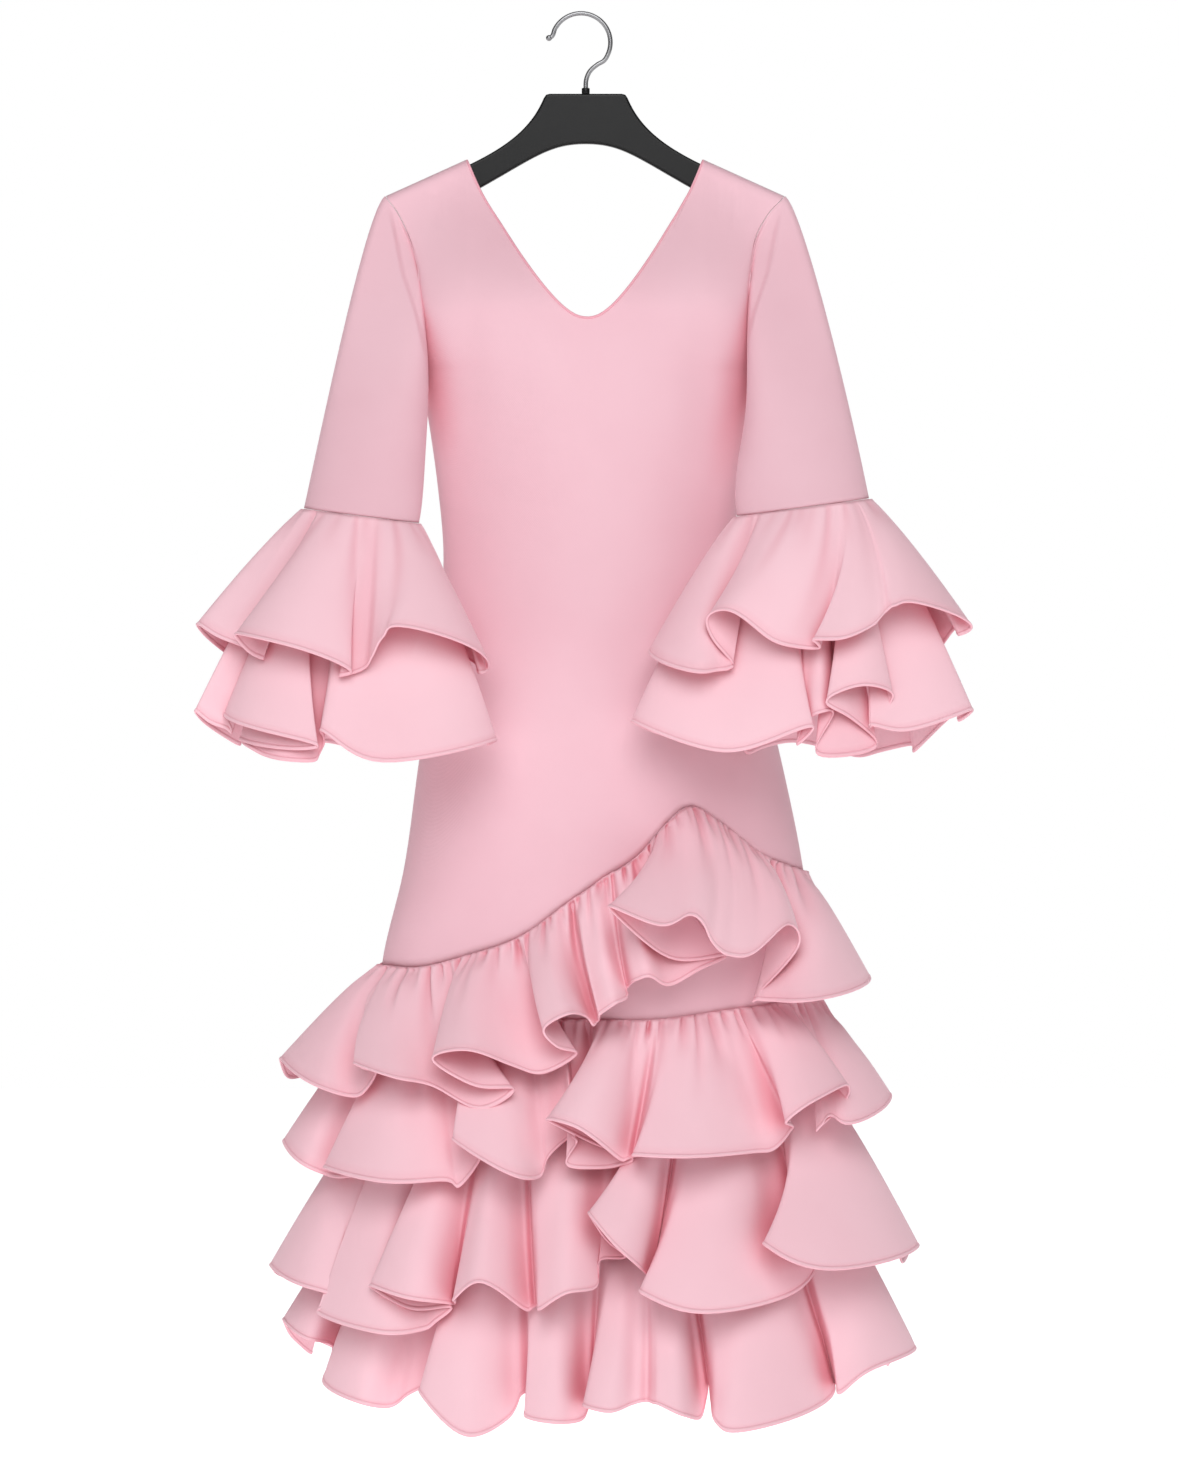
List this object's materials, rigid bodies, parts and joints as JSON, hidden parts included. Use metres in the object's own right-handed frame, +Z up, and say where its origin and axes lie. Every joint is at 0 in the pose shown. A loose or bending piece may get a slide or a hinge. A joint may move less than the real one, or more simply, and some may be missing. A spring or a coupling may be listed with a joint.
{
  "type": "flamenco dress on a hanger",
  "caption": "Pale pink crepe dress with a V neck, bell sleeves ending in double flounces and a flared, flounced skirt, hanging on a black hanger with a wire hook.",
  "frame": {"origin": "the inside of the hook's crown, where a rail carries the hanger", "axes": "+Z up, -Y towards someone who faces the front of the dress, +X to their right, which is the wearer's left"},
  "size_m": [0.7667, 0.4119, 1.4032],
  "materials": {
    "dress_crepe": "matte crepe with a faint sheen",
    "neck_edging": "narrow turned binding of the same crepe",
    "hanger_plastic": "satin black moulding",
    "hook_steel": "satin bright wire"
  },
  "bodies": {
    "root": {"front": "dress_crepe", "back": "dress_crepe", "sleeve_right": "dress_crepe", "sleeve_left": "dress_crepe", "cuff_upper_right": "dress_crepe", "cuff_upper_left": "dress_crepe", "cuff_lower_right": "dress_crepe", "cuff_lower_left": "dress_crepe", "skirt_front": "dress_crepe", "skirt_back": "dress_crepe", "flounce_1": "dress_crepe", "flounce_2": "dress_crepe", "flounce_3": "dress_crepe", "flounce_4": "dress_crepe", "neck_binding": "neck_edging", "hanger": "hanger_plastic", "hook_collar": "hanger_plastic", "hook": "hook_steel"}
  },
  "joints": []
}
